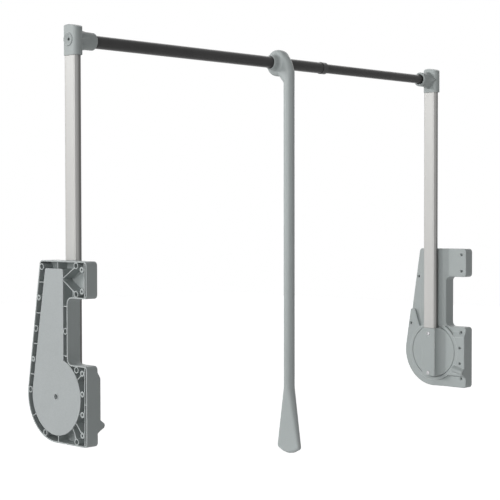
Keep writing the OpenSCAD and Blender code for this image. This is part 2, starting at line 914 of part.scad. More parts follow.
// One ring of the spring wire, square to the coil, at a share of its length
wire_sides = 6;
rings_per_turn = 8;
function wire_ring(s) =
    let (a = 360 * spring_turns * s, coil_r = (spring_d - wire_d) / 2,
        rise = spring_l - wire_d - 2 * spring_clear,
        z = wire_d / 2 + spring_clear + rise * s,
        lean = atan(rise / (spring_turns * 2 * PI * coil_r)))
    [for (k = [0:wire_sides - 1])
        let (b = 360 * k / wire_sides, u = cos(b) * wire_d / 2, v = sin(b) * wire_d / 2)
        [(coil_r + u) * cos(a) + v * sin(lean) * sin(a),
            (coil_r + u) * sin(a) - v * sin(lean) * cos(a), z + v * cos(lean)]];

module spring() {
    count = spring_turns * rings_per_turn;
    points = [for (i = [0:count]) each wire_ring(i / count)];
    sides = [for (i = [0:count - 1], k = [0:wire_sides - 1])
        let (a = i * wire_sides + k, b = i * wire_sides + (k + 1) % wire_sides)
        each [[a, b, b + wire_sides], [a, b + wire_sides, a + wire_sides]]];
    ends = [[for (k = [wire_sides - 1:-1:0]) k],
        [for (k = [0:wire_sides - 1]) count * wire_sides + k]];
    color([0.7, 0.7, 0.72])
        translate([drive_x, 0, spring_z])
            polyhedron(points, concat(sides, ends));
}

damper_top = cap_z - travel - damper_stop;
damper_floor = spring_z + seat_t;
rod_engaged = 20;

module damper_cylinder() {
    color([0.3, 0.3, 0.31])
        difference() {
            translate([drive_x, damper_y, spring_z])
                cylinder(r = damper_r, h = damper_top - spring_z);
            translate([drive_x, damper_y, damper_floor])
                cylinder(r = damper_rod_r + fit_gap, h = damper_top);
        }
}

module damper_rod() {
    color([0.75, 0.75, 0.76])
        translate([drive_x, damper_y, damper_top - rod_engaged])
            cylinder(r = damper_rod_r, h = cap_z + seat_t - damper_top + rod_engaged);
}

arm_bottom = 2 * socket_wall - socket_bottom;
arm_top_gap = 2;
arm_top = rod_z - outer_r - arm_top_gap;
// Screws behind each connector: into the arm and into the rod
rear_screw_r = 1.8;
rear_screw_head_r = 3.5;
rear_screw_head_h = 1.8;
arm_fix_rise = 7;
rod_fix_set_back = 12;
arm_fix_z = rod_z - connector_bottom + arm_fix_rise;
rod_fix_x = neck_x - rod_fix_set_back;
// Its head sits in a shallow spot face on the rounded back
arm_spot_h = 0.5;
arm_fix_y = arm_w / 2 + connector_wall - arm_spot_h;
lip_l = 3;
neck_l = neck_x - lip_l - connector_face;
neck_slope = (neck_root_r - neck_lip_r) / neck_l;
// The screw into the rod sits in a shallow spot face on the cone of the neck
spot_h = 1;
rod_fix_y = neck_root_r - neck_slope * (rod_fix_x - connector_face) - spot_h;
// Reach of the screws past the wall that they hold
screw_reach = 3;
// Tips of the screws into the outer and the inner tube, from the rod axis
outer_tip = outer_r - tube_wall + slide_gap;
inner_tip = inner_r - tube_wall - screw_reach;

// Shanks of the two screws behind the connector, from their seats towards the front
module rear_screw_shanks(r, tip) {
    translate([arm_x, arm_fix_y, arm_fix_z])
        rotate([90, 0, 0])
            cylinder(r = r, h = connector_wall + arm_wall + screw_reach);
    translate([rod_fix_x, rod_fix_y, rod_z])
        rotate([90, 0, 0])
            cylinder(r = r, h = rod_fix_y - tip);
}

module arm() {
    color([0.76, 0.76, 0.75])
        difference() {
            translate([arm_x, 0, arm_bottom])
                linear_extrude(height = arm_top - arm_bottom)
                    difference() {
                        round_rect(arm_t, arm_w, arm_r);
                        round_rect(arm_t - 2 * arm_wall, arm_w - 2 * arm_wall,
                            arm_r - arm_wall);
                    }
            for (z = arm_screw_zs)
                x_rod_at(arm_screw_r + fit_gap, arm_face - 2 * arm_wall, arm_face + over,
                    [0, z]);
            rear_screw_shanks(rear_screw_r + fit_gap, inner_tip);
        }
}

// Screw with a low domed head and a cross recess, its seat at the origin, pointing up
module cross_screw(shank_r, shank_l, head_r, head_h) {
    slot_l_share = 1.2;
    crown_share = 0.6;
    slot_w = head_r / 4;
    slot_l = head_r * slot_l_share;
    difference() {
        union() {
            translate([0, 0, -shank_l])
                cylinder(r = shank_r, h = shank_l + head_h / 2);
            cylinder(r = head_r, h = head_h / 2);
            translate([0, 0, head_h / 2])
                cylinder(r1 = head_r, r2 = head_r * crown_share, h = head_h / 2);
        }
        for (a = [0, 90])
            rotate([0, 0, a])
                translate([-slot_l / 2, -slot_w / 2, head_h / 2])
                    cube([slot_l, slot_w, head_h]);
    }
}

module arm_screws() {
    head_h = 2.6;
    seat_xs = [socket_face - socket_wall / 2, socket_face];
    color([0.85, 0.85, 0.86])
        for (i = [0, 1])
            translate([seat_xs[i], 0, arm_screw_zs[i]])
                rotate([0, 90, 0])
                    cross_screw(arm_screw_r, socket_wall + arm_wall + over, arm_screw_head_r,
                        head_h);
}

module connector() {
    body_half = (arm_w + connector_front + connector_wall) / 2;
    body_y = (connector_wall - connector_front) / 2;
    body_corner_r = 9.5;
    body_low = rod_z - connector_bottom;
    body_high = rod_z + connector_top;
    dome_r = (body_half * body_half + connector_dome * connector_dome) / (2 * connector_dome);
    // The top is highest a little behind the arm's centre
    dome_y = 1.5;
    // Dished boss around the hole on the outside
    boss_rim = 0.8;
    boss_rise = 2;
    dish_share = 0.92;
    dish_r = outer_r * dish_share;
    dish_h = 2.8;
    hole_r = 3.2;
    dish_slope = (dish_r - hole_r - boss_rim) / dish_h;
    boss_face = connector_back - boss_rise;
    root_flare = 3.8;
    root_half = neck_root_r + root_flare;
    root_depth = 6;
    root_l = 18;
    bore_r = outer_r + fit_gap;
    color([0.56, 0.59, 0.58])
        difference() {
            union() {
                intersection() {
                    translate([arm_x, body_y, body_low])
                        linear_extrude(height = connector_top + connector_bottom)
                            round_rect(arm_t + 2 * connector_side, 2 * body_half,
                                body_corner_r);
                    slab(connector_back, connector_face)
                        translate([dome_y, body_high - dome_r])
                            circle(r = dome_r, $fn = 128);
                }
                translate([connector_face - over, 0, rod_z])
                    rotate([0, 90, 0])
                        cylinder(r1 = neck_root_r + over * neck_slope, r2 = neck_lip_r,
                            h = neck_l + over);
                translate([0, 0, rod_z]) {
                    x_rod(neck_lip_r, neck_x - lip_l - over, neck_x - lip_l / 2);
                    x_rod(dish_r + boss_rim, boss_face, connector_back + over);
                }
                translate([neck_x - lip_l / 2, 0, rod_z])
                    rotate([0, 90, 0])
                        cylinder(r1 = neck_lip_r, r2 = neck_lip_r - lip_l / 2, h = lip_l / 2);
                hull() {
                    translate([0, 0, rod_z])
                        slab(connector_face - root_depth, connector_face)
                            polygon([[-root_half, 0], [0, root_half], [arm_w / 2, 0],
                                [0, -root_half]]);
                    translate([0, 0, rod_z])
                        slab(connector_face + root_l, connector_face + root_l + over)
                            circle(r = neck_lip_r, $fn = 32);
                }
            }
            translate([0, 0, rod_z]) {
                x_rod(bore_r, rod_start, neck_x + over);
                translate([boss_face - over, 0, 0])
                    rotate([0, 90, 0])
                        cylinder(r1 = dish_r + over * dish_slope, r2 = hole_r + boss_rim,
                            h = dish_h + over);
                x_rod(hole_r, connector_back, rod_start + over);
            }
            translate([rod_fix_x, rod_fix_y, rod_z])
                rotate([-90, 0, 0])
                    cylinder(r = rear_screw_head_r + slide_gap, h = neck_root_r);
            translate([arm_x, arm_fix_y, arm_fix_z])
                rotate([-90, 0, 0])
                    cylinder(r = rear_screw_head_r + slide_gap, h = body_half);
            translate([arm_x, 0, body_low - over])
                linear_extrude(height = arm_top - body_low + over + fit_gap)
                    round_rect(arm_t + 2 * fit_gap, arm_w + 2 * fit_gap, arm_r);
            rear_screw_shanks(rear_screw_r + fit_gap, inner_tip);
        }
}

module connector_screws(tip) {
    shank_l = connector_wall + arm_wall + screw_reach;
    color([0.85, 0.85, 0.86]) {
        translate([arm_x, arm_fix_y, arm_fix_z])
            rotate([-90, 0, 0])
                cross_screw(rear_screw_r, shank_l, rear_screw_head_r, rear_screw_head_h);
        translate([rod_fix_x, rod_fix_y, rod_z])
            rotate([-90, 0, 0])
                cross_screw(rear_screw_r, rod_fix_y - tip, rear_screw_head_r,
                    rear_screw_head_h);
    }
}

// A tube along the rod axis
module rod_tube(r, from, to) {
    translate([0, 0, rod_z])
        x_ring(r, r - tube_wall, from, to);
}

collar_end_l = 3;

module outer_rod_tube() {
    color([0.07, 0.07, 0.075])
        difference() {
            rod_tube(outer_r, rod_start, outer_end - collar_end_l);
            rear_screw_shanks(rear_screw_r + fit_gap, inner_tip);
        }
}

module rod_end_collar() {
    color([0.05, 0.05, 0.055])
        translate([0, 0, rod_z])
            difference() {
                x_rod(outer_r + collar_wall, outer_end - collar_l, outer_end);
                x_rod(outer_r + fit_gap, outer_end - collar_l - over,
                    outer_end - collar_end_l);
                x_rod(inner_r + fit_gap, outer_end - collar_end_l - over, outer_end + over);
            }
}

module inner_rod_tube() {
    color([0.09, 0.09, 0.095])
        difference() {
            rod_tube(inner_r, inner_start, inner_end);
            right_side()
                rear_screw_shanks(rear_screw_r + fit_gap, inner_tip);
        }
}

module rod_guide_plug() {
    plug_l = 10;
    color([0.15, 0.15, 0.16])
        translate([0, 0, rod_z]) {
            x_rod(outer_r - tube_wall - fit_gap, inner_start - plug_l, inner_start);
            x_rod(inner_r - tube_wall - fit_gap, inner_start - over, inner_start + plug_l);
        }
}

// Sleeve that centres the thinner tube in the right connector
module rod_adapter() {
    set_back = 4;
    color([0.05, 0.05, 0.055])
        difference() {
            translate([0, 0, rod_z])
                x_ring(outer_r, inner_r + fit_gap, inner_end - neck_x + rod_start + set_back,
                    inner_end);
            right_side()
                rear_screw_shanks(rear_screw_r + fit_gap, inner_tip);
        }
}

// Profile of the eye: radius against distance from its middle
module eye_profile(bore) {
    collar_out = liner_r + rib_t;
    flank = shaft_d / 2;
    shoulder_share = 0.7;
    shoulder_r = flank * shoulder_share;
    corners = [[bore, eye_half_l], [collar_out, eye_half_l],
        [collar_out + rib_t, flank + rib_t], [eye_r, flank - rib_t], [eye_r, rib_t - flank],
        [collar_out + rib_t, -flank - rib_t], [collar_out, -eye_half_l],
        [bore, -eye_half_l]];
    polygon(rounded(corners, [0, least_r, flank / 2, shoulder_r, shoulder_r, flank / 2,
        least_r, 0], [for (c = corners) 0], 0));
}

// Knee between eye and shaft: shares of the shaft offset and of the eye's thickness
knee_shares = [[0, 1], [0.33, 0.78], [0.58, 0.34], [0.81, -0.29], [1, -1.32], [1, -2.4],
    [0.26, -0.84]];
knee_steps = 28;
paddle_sag = 9;

module pull_handle() {
    r = shaft_d / 2;
    ring = eye_r - r;
    // Radius whose facets stay just outside the round shaft
    facet_share = cos(180 / knee_steps);
    knee_r = r / facet_share / facet_share + fit_gap;
    shaft_top = ring * knee_shares[5][1];
    flare_z = flare_l - handle_l;
    paddle_r = paddle_t / 2;
    paddle_half = paddle_w / 2 - paddle_r;
    bore = liner_r + fit_gap;
    color([0.64, 0.67, 0.67])
        translate([handle_x, 0, rod_z])
            difference() {
                union() {
                    rotate([0, 90, 0])
                        rotate_extrude($fn = 96)
                            eye_profile(bore);
                    hull()
                        for (k = knee_shares)
                            translate([0, -shaft_offset * k[0], ring * k[1]])
                                sphere(r = knee_r, $fn = knee_steps);
                    translate([0, -shaft_offset, flare_z - over])
                        cylinder(r = r, h = shaft_top - flare_z + over);
                    hull() {
                        translate([0, -shaft_offset, flare_z])
                            cylinder(r = knee_r, h = over, $fn = knee_steps);
                        for (s = [-1:0.5:1])
                            translate([0, s * paddle_half - shaft_offset,
                                paddle_r - handle_l + paddle_sag * s * s])
                                sphere(r = paddle_r, $fn = knee_steps);
                    }
                }
                x_rod(bore, -eye_half_l - over, eye_half_l + over);
            }
}

module handle_liner() {
    color([0.15, 0.15, 0.16])
        translate([handle_x, 0, rod_z])
            x_ring(liner_r, outer_r + fit_gap, slide_gap - eye_half_l, eye_half_l - slide_gap);
}

housing();  // left_housing
cover();  // left_cover
pivot_bush();  // left_pivot_bush
thrust_ring();  // left_thrust_ring
hub();  // left_hub
crank_pin();  // left_crank_pin
crank_roller();  // left_crank_roller
carriage();  // left_carriage
tie_rod();  // left_tie_rod
tie_nut();  // left_tie_nut
spring_seat();  // left_spring_seat
spring();  // left_spring
spring_cap();  // left_spring_cap
damper_cylinder();  // left_damper_cylinder
damper_rod();  // left_damper_rod
arm();  // left_arm
arm_screws();  // left_arm_screws
connector();  // left_connector
connector_screws(outer_tip);  // left_connector_screws
right_side() housing();  // right_housing
right_side() cover();  // right_cover
right_side() pivot_bush();  // right_pivot_bush
right_side() thrust_ring();  // right_thrust_ring
right_side() hub();  // right_hub
right_side() crank_pin();  // right_crank_pin
right_side() crank_roller();  // right_crank_roller
right_side() carriage();  // right_carriage
right_side() tie_rod();  // right_tie_rod
right_side() tie_nut();  // right_tie_nut
right_side() spring_seat();  // right_spring_seat
right_side() spring();  // right_spring
right_side() spring_cap();  // right_spring_cap
right_side() damper_cylinder();  // right_damper_cylinder
right_side() damper_rod();  // right_damper_rod
right_side() arm();  // right_arm
right_side() arm_screws();  // right_arm_screws
right_side() connector();  // right_connector
right_side()  // right_connector_screws
        connector_screws(inner_tip);
outer_rod_tube();
rod_end_collar();
inner_rod_tube();
rod_guide_plug();
rod_adapter();
pull_handle();
handle_liner();
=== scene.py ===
import json
import math

import bmesh
import bpy
from mathutils import Matrix, Vector

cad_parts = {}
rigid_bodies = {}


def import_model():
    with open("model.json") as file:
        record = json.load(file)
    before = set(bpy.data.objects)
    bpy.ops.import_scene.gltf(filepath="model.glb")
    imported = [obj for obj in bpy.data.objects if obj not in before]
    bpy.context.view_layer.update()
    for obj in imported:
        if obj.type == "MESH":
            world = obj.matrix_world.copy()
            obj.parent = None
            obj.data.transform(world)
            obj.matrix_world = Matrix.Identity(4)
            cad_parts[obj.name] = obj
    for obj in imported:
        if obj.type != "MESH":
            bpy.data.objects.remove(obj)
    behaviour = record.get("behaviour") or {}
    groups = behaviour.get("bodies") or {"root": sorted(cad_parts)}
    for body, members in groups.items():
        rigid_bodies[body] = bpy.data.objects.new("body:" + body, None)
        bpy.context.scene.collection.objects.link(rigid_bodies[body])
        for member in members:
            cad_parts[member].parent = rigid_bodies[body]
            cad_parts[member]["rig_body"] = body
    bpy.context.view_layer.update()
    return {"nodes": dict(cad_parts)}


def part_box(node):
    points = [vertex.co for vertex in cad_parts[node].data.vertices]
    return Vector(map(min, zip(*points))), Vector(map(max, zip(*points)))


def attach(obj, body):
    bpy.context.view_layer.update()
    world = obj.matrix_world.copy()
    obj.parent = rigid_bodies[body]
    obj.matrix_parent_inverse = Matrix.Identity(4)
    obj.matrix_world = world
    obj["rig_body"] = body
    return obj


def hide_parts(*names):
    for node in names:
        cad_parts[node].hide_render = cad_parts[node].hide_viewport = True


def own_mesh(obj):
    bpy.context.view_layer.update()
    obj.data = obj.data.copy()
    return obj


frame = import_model()
nodes = frame["nodes"]
scene = bpy.context.scene
MM = 0.001
SIDES = ("left", "right")

# Camera, fitted to the photograph's edges

CAMERA_PLACE = Vector((-1.54413, -2.02620, 0.34216))
CAMERA_YAW = math.radians(44.469)
CAMERA_PITCH = math.radians(1.543)
CAMERA_ROLL = math.radians(-0.078)
FOCAL_PIXELS = 1350.74
PHOTO_PIXELS = 500
CAMERA_REACH = 100


def make_camera():
    """Creates the camera at the photograph's place, looking along its yaw and pitch."""
    data = bpy.data.cameras.new("camera")
    data.lens = data.sensor_width * FOCAL_PIXELS / PHOTO_PIXELS
    data.clip_end = CAMERA_REACH
    camera = bpy.data.objects.new("camera", data)
    scene.collection.objects.link(camera)
    aim = Matrix.Rotation(CAMERA_YAW - math.pi / 2, 4, "Z")
    tilt = Matrix.Rotation(math.pi / 2 - CAMERA_PITCH, 4, "X")
    camera.matrix_world = (Matrix.Translation(CAMERA_PLACE) @ aim @ tilt
        @ Matrix.Rotation(CAMERA_ROLL, 4, "Z"))
    scene.camera = camera


# Shader building

BEVEL_SAMPLES = 6
FIRST_LEAN, FULL_LEAN = 0.004, 0.10


class Wire:
    """A socket in a node tree. Arithmetic on it adds Math nodes."""

    def __init__(self, graph, socket):
        self.graph = graph
        self.socket = socket

    def maths(self, operation, first, second):
        return self.graph.node("ShaderNodeMath", {"operation": operation},
            {0: first, 1: second})

    def __add__(self, other):
        return self.maths("ADD", self, other)

    def __sub__(self, other):
        return self.maths("SUBTRACT", self, other)

    def __rsub__(self, other):
        return self.maths("SUBTRACT", other, self)

    def __mul__(self, other):
        return self.maths("MULTIPLY", self, other)

    __radd__ = __add__
    __rmul__ = __mul__


class Graph:
    """The node tree of a material or of the world."""

    def __init__(self, tree):
        self.tree = tree

    def feed(self, socket, value):
        if isinstance(value, Wire):
            self.tree.links.new(value.socket, socket)
        else:
            socket.default_value = value

    def node(self, kind, settings=None, sockets=None, output=0):
        """Adds a node: first its settings, then the values or links of its sockets."""
        node = self.tree.nodes.new(kind)
        for name, value in (settings or {}).items():
            setattr(node, name, value)
        for name, value in (sockets or {}).items():
            self.feed(node.inputs[name], value)
        return Wire(self, node.outputs[output])

    def mixed(self, first, second, mask):
        """Colour that goes from first to second as mask goes from 0 to 1."""
        return self.node("ShaderNodeMix", {"data_type": "RGBA"},
            {0: mask, 6: first, 7: second}, output=2)

    def stepped(self, value, low, high):
        """0 below low, 1 above high, and even between them."""
        return self.node("ShaderNodeMapRange", {}, {"Value": value, "From Min": low,
            "From Max": high})


class Finish(Graph):
    """A material made of one principled surface, seen at the object's own coordinates."""

    def __init__(self, name, constants):
        self.material = bpy.data.materials.new(name)
        self.material.use_nodes = True
        super().__init__(self.material.node_tree)
        self.surface = self.tree.nodes["Principled BSDF"]
        for socket, value in constants.items():
            self.surface.inputs[socket].default_value = value
        self.place = self.node("ShaderNodeTexCoord", output="Object")

    def noise(self, scale, detail=2.0, stretch=(1.0, 1.0, 1.0)):
        """Smooth noise, with scale features to a metre, drawn out along an axis by stretch."""
        spot = self.node("ShaderNodeMapping", {}, {"Vector": self.place, "Scale": stretch})
        return self.node("ShaderNodeTexNoise", {},
            {"Vector": spot, "Scale": scale, "Detail": detail})

    def shaded(self, colour, shade):
        """A colour times a brightness that varies."""
        return self.node("ShaderNodeVectorMath", {"operation": "SCALE"},
            {0: colour, "Scale": shade})

    def rounded_normal(self, radius):
        """The surface's normal as if each edge had this radius."""
        return self.node("ShaderNodeBevel", {"samples": BEVEL_SAMPLES}, {"Radius": radius})

    def edges(self, rounded):
        """How far the rounded normal leans from the true one: 0 on flats, more at edges."""
        true = self.node("ShaderNodeNewGeometry", output="Normal")
        lean = self.node("ShaderNodeVectorMath", {"operation": "DOT_PRODUCT"},
            {0: rounded, 1: true}, output="Value")
        return self.stepped(1 - lean, FIRST_LEAN, FULL_LEAN)

    def set(self, **sockets):
        """Feeds the surface, by socket names with underscores for spaces."""
        for name, value in sockets.items():
            self.feed(self.surface.inputs[name.replace("_", " ")], value)
        return self.material

    def bump(self, height, depth, rounded):
        """Normal of a relief whose height of 1 stands for depth metres."""
        return self.node("ShaderNodeBump", {}, {"Height": height, "Distance": depth,
            "Normal": rounded})


# Finishes

# Noise runs from 0 to 1 about this middle
EVEN = 0.5


def moulded_plastic(name, colour, edge_highlight_colour, speckle, roughness, edge_width=1.2 * MM):
    """Injection-moulded plastic: fine eroded grain, faint blotches, and a painted highlight
    that lightens the edges.
    """
    finish = Finish(name, {"IOR": 1.46})
    rounded = finish.rounded_normal(edge_width)
    grain = finish.noise(1100, 3)
    specks = finish.noise(520, 2)
    blotches = finish.noise(16, 4)
    shade = 1 + (blotches - EVEN) * 0.10 + (specks - EVEN) * speckle
    skin = finish.shaded(colour, shade)
    # Painted highlight: the edges go towards the lighter edge colour, more where the blotches
    # are light
    painted_edge_highlight = finish.edges(rounded) * (0.60 + blotches * 0.40)
    return finish.set(Base_Color=finish.mixed(skin, edge_highlight_colour, painted_edge_highlight),
        Roughness=roughness + (grain - EVEN) * 0.12 + (blotches - EVEN) * 0.10,
        Normal=finish.bump(grain + specks * 0.7, 0.10 * MM, rounded))


def painted_arm_shade(finish):
    """Painted shade on the arm's profile, for the dark reflections of its sides: a painted dark
    line along the corners of its first broad face, and the painted darker far half of its
    narrow sides. Both go by shares of its box."""
    box = finish.node("ShaderNodeTexCoord", output="Generated")
    thick = finish.node("ShaderNodeSeparateXYZ", {}, {"Vector": box}, output="X")
    broad = finish.node("ShaderNodeSeparateXYZ", {}, {"Vector": box}, output="Y")
    off_centre = finish.node("ShaderNodeMath", {"operation": "ABSOLUTE"}, {0: broad - 0.5})
    # Painted shade: darkest on the far half of the narrow sides, with a thinner line by the
    # corners
    painted_darker_side = finish.stepped(off_centre, 0.40, 0.44) * finish.stepped(thick, 0.38, 0.56)
    painted_dark_line = finish.stepped(off_centre, 0.43, 0.445) - finish.stepped(off_centre, 0.455, 0.47)
    painted_dark_line = painted_dark_line * (1 - finish.stepped(thick, 0.20, 0.25))
    return painted_darker_side * 0.58 + painted_dark_line * 0.35


def drawn_aluminium():
    """Extruded and anodised aluminium with fine lengthwise lines, and bands of painted shade
    on its narrow sides and along its corners.
    """
    finish = Finish("drawn_aluminium", {"Metallic": 0.25, "IOR": 1.3})
    # Painted shade: the base colour darkens where the profile's reflections would be dark
    marks_and_painted_shade = painted_arm_shade(finish)
    rounded = finish.rounded_normal(0.4 * MM)
    lines = finish.noise(900, 3, (1.0, 1.0, 0.012))
    bands = finish.noise(130, 2, (1.0, 1.0, 0.01))
    clouds = finish.noise(9, 3)
    shade = 1 + (lines - EVEN) * 0.16 + (bands - EVEN) * 0.10 + (clouds - EVEN) * 0.05
    return finish.set(
        Base_Color=finish.shaded((0.470, 0.467, 0.455), shade * (1 - marks_and_painted_shade)),
        Roughness=0.42 + (lines - EVEN) * 0.25 + (clouds - EVEN) * 0.08,
        Normal=finish.bump(lines, 0.02 * MM, rounded))


def black_coating():
    """Gloss black coating on steel tube, with a faint orange peel and rubbed streaks."""
    finish = Finish("black_coating", {"IOR": 1.28})
    rounded = finish.rounded_normal(0.5 * MM)
    peel = finish.noise(240, 2)
    streaks = finish.noise(140, 3, (0.04, 1.0, 1.0))
    dust = finish.noise(30, 4)
    shade = 1 + (streaks - EVEN) * 0.5 + (dust - EVEN) * 0.3
    return finish.set(Base_Color=finish.shaded((0.054, 0.0535, 0.0535), shade),
        Roughness=0.30 + (streaks - EVEN) * 0.18 + (dust - EVEN) * 0.10,
        Normal=finish.bump(peel, 0.012 * MM, rounded))


def black_moulding(name, roughness):
    """Black moulded plastic: acetal bushes, rollers and collars."""
    finish = Finish(name, {"IOR": 1.45})
    rounded = finish.rounded_normal(0.6 * MM)
    grain = finish.noise(900, 3)
    blotches = finish.noise(40, 3)
    skin = finish.shaded((0.020, 0.020, 0.021), 1 + (blotches - EVEN) * 0.4)
    # Painted highlight: the edges lighten towards a dark grey
    return finish.set(
        Base_Color=finish.mixed(skin, (0.07, 0.07, 0.072, 1), finish.edges(rounded) * 0.5),
        Roughness=roughness + (grain - EVEN) * 0.15,
        Normal=finish.bump(grain, 0.04 * MM, rounded))


def bright_metal(name, colour, roughness, lines, relief):
    """Turned, plated or cast metal; lines is how strongly tool marks show."""
    finish = Finish(name, {"Metallic": 1.0})
    rounded = finish.rounded_normal(0.3 * MM)
    marks_and_painted_shade = finish.noise(1500, 2, (1.0, 0.15, 1.0))
    clouds = finish.noise(70, 4)
    shade = 1 + (marks_and_painted_shade - EVEN) * lines + (clouds - EVEN) * 0.12
    return finish.set(Base_Color=finish.shaded(colour, shade),
        Roughness=roughness + (clouds - EVEN) * 0.15 + (marks_and_painted_shade - EVEN) * lines,
        Normal=finish.bump(marks_and_painted_shade + clouds, relief, rounded))


# The edge colours are painted highlights along the rounded edges
HOUSING_GREY = (0.348, 0.380, 0.377)
HOUSING_EDGE_HIGHLIGHT = (0.74, 0.77, 0.765, 1)
COVER_GREY = (0.366, 0.392, 0.394)
COVER_EDGE_HIGHLIGHT = (0.47, 0.50, 0.50, 1)
HANDLE_GREY = (0.395, 0.430, 0.428)
HANDLE_EDGE_HIGHLIGHT = (0.45, 0.48, 0.48, 1)


def make_finishes():
    """One material for each slot of the record."""
    return {
        "housing_plastic": moulded_plastic("housing_plastic", HOUSING_GREY, HOUSING_EDGE_HIGHLIGHT,
            0.10, 0.50),
        "cover_plastic": moulded_plastic("cover_plastic", COVER_GREY, COVER_EDGE_HIGHLIGHT, 0.26, 0.55),
        "handle_plastic": moulded_plastic("handle_plastic", HANDLE_GREY, HANDLE_EDGE_HIGHLIGHT,
            0.07, 0.44),
        "black_plastic": black_moulding("black_plastic", 0.48),
        "collar_black": black_moulding("collar_black", 0.32),
        "rod_black": black_coating(),
        "arm_aluminium": drawn_aluminium(),
        "screw_steel": bright_metal("screw_steel", (0.50, 0.50, 0.51), 0.36, 0.08, 0.01 * MM),
        "steel": bright_metal("steel", (0.58, 0.58, 0.60), 0.30, 0.20, 0.02 * MM),
        "spring_steel": bright_metal("spring_steel", (0.42, 0.42, 0.44), 0.36, 0.15,
            0.02 * MM),
        "zinc": bright_metal("zinc", (0.50, 0.51, 0.53), 0.46, 0.10, 0.06 * MM),
    }


# Mesh work

SHARP = math.radians(25)
WELD = 0.004 * MM
FLAT = math.radians(0.2)
FIRST_ROUNDING = 0.12 * MM
NARROW = 4 * MM
NARROW_SHARE = 0.12
BROAD_SHARE = 0.3
ROUNDING_STEPS = 3
BLEND_PULL = 0.5
CREASE = math.radians(40)


def clean_copy(node):
    """A welded copy of a CAD node's mesh, with flat faces joined again."""
    form = bmesh.new()
    form.from_mesh(nodes[node].data)
    bmesh.ops.remove_doubles(form, verts=form.verts, dist=WELD)
    bmesh.ops.dissolve_limit(form, angle_limit=FLAT, use_dissolve_boundaries=False,
        verts=form.verts, edges=form.edges)
    form.normal_update()
    return form


def is_sharp(edge):
    """Whether two faces meet here at more than a gentle bend."""
    return len(edge.link_faces) == 2 and edge.calc_face_angle(0) > SHARP


def region_breadths(form):
    """For each face, how broad the smooth stretch of surface around it is."""
    breadth = {}
    for start in form.faces:
        if start in breadth:
            continue
        region, queue, rim = {start}, [start], 0.0
        while queue:
            face = queue.pop()
            for edge in face.edges:
                if is_sharp(edge):
                    rim += edge.calc_length()
                    continue
                for other in edge.link_faces:
                    if other not in region:
                        region.add(other)
                        queue.append(other)
        size = 2 * sum(f.calc_area() for f in region) / rim if rim else 0.0
        breadth.update((face, size) for face in region)
    return breadth


def softened(form, rounding, share):
    """Marks each sharp edge with the rounding that its two surfaces have room for."""
    breadth = region_breadths(form)
    weights = form.edges.layers.float.new("bevel_weight_edge")
    for face in form.faces:
        face.smooth = True
    for edge in form.edges:
        if not is_sharp(edge):
            continue
        thin = min(breadth[face] for face in edge.link_faces)
        room = (NARROW_SHARE if thin < NARROW else share) * thin
        if not edge.is_convex:
            room *= share
        if room < FIRST_ROUNDING:
            edge.smooth = False
        else:
            edge[weights] = min(room, rounding) / rounding


def to_object(form, name):
    """A new object in the scene made of the form."""
    mesh = bpy.data.meshes.new(name)
    form.to_mesh(mesh)
    form.free()
    if mesh.has_custom_normals:
        mesh.attributes.remove(mesh.attributes["custom_normal"])
    piece = bpy.data.objects.new(name, mesh)
    scene.collection.objects.link(piece)
    return piece


def dress(piece, node, slot, finishes):
    """Lets a piece stand for a node: puts it on the node's body, gives it the slot's finish and
    hides the node.
    """
    piece.data.materials.clear()
    piece.data.materials.append(finishes[slot])
    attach(piece, nodes[node]["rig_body"])
    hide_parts(node)


def rounded_piece(node, name, slot, finishes, rounding, share=BROAD_SHARE):
    """The node's own shape with rounded edges."""
    form = clean_copy(node)
    softened(form, rounding, share)
    piece = to_object(form, name)
    bevel = piece.modifiers.new("rounding", "BEVEL")
    bevel.width = rounding
    bevel.segments = ROUNDING_STEPS
    bevel.limit_method = "WEIGHT"
    bevel.use_clamp_overlap = False
    bevel.harden_normals = True
    dress(piece, node, slot, finishes)
    return piece


def apply_modifiers(piece):
    """Turns what a piece's modifiers make into its own mesh."""
    seen = piece.evaluated_get(bpy.context.evaluated_depsgraph_get())
    made = bpy.data.meshes.new_from_object(seen)
    piece.modifiers.clear()
    piece.data = made


def blended_piece(node, name, slot, finishes, voxel, rounds, swell=0.0, filler=None,
        cutter=None):
    """The node's shape with its joints blended, as one skin of even mesh.

    The swell gives back what the blending shrinks. The filler closes a bore while the
    skin is made, and the cutter opens it again.
    """
    piece = to_object(clean_copy(node), name)
    if filler:
        fuse = piece.modifiers.new("fill", "BOOLEAN")
        fuse.operation = "UNION"
        fuse.object = filler
    remesh = piece.modifiers.new("skin", "REMESH")
    remesh.mode = "VOXEL"
    remesh.voxel_size = voxel
    smooth = piece.modifiers.new("blend", "SMOOTH")
    smooth.factor = BLEND_PULL
    smooth.iterations = rounds
    if swell:
        grow = piece.modifiers.new("swell", "DISPLACE")
        grow.strength = swell
        grow.mid_level = 0.0
    if cutter:
        cut = piece.modifiers.new("bore", "BOOLEAN")
        cut.operation = "DIFFERENCE"
        cut.object = cutter
    apply_modifiers(piece)
    piece.data.shade_smooth()
    piece.data.set_sharp_from_angle(angle=CREASE)
    dress(piece, node, slot, finishes)
    return piece


# Pieces

HOUSING_ROUNDING = 1.4 * MM
COVER_ROUNDING = 0.8 * MM
HUB_ROUNDING = 1.6 * MM
SCREW_ROUNDING = 0.35 * MM
SCREW_SHARE = 0.2
CONNECTOR_VOXEL = 0.5 * MM
CONNECTOR_ROUNDS = 4
HANDLE_VOXEL = 1.2 * MM
HANDLE_ROUNDS = 14
HANDLE_SWELL = 0.45 * MM
BORE_STEPS = 96
FILLER_SPARE = 0.3 * MM
CUTTER_SPARE = 0.05 * MM
CUTTER_LENGTH = 1.2


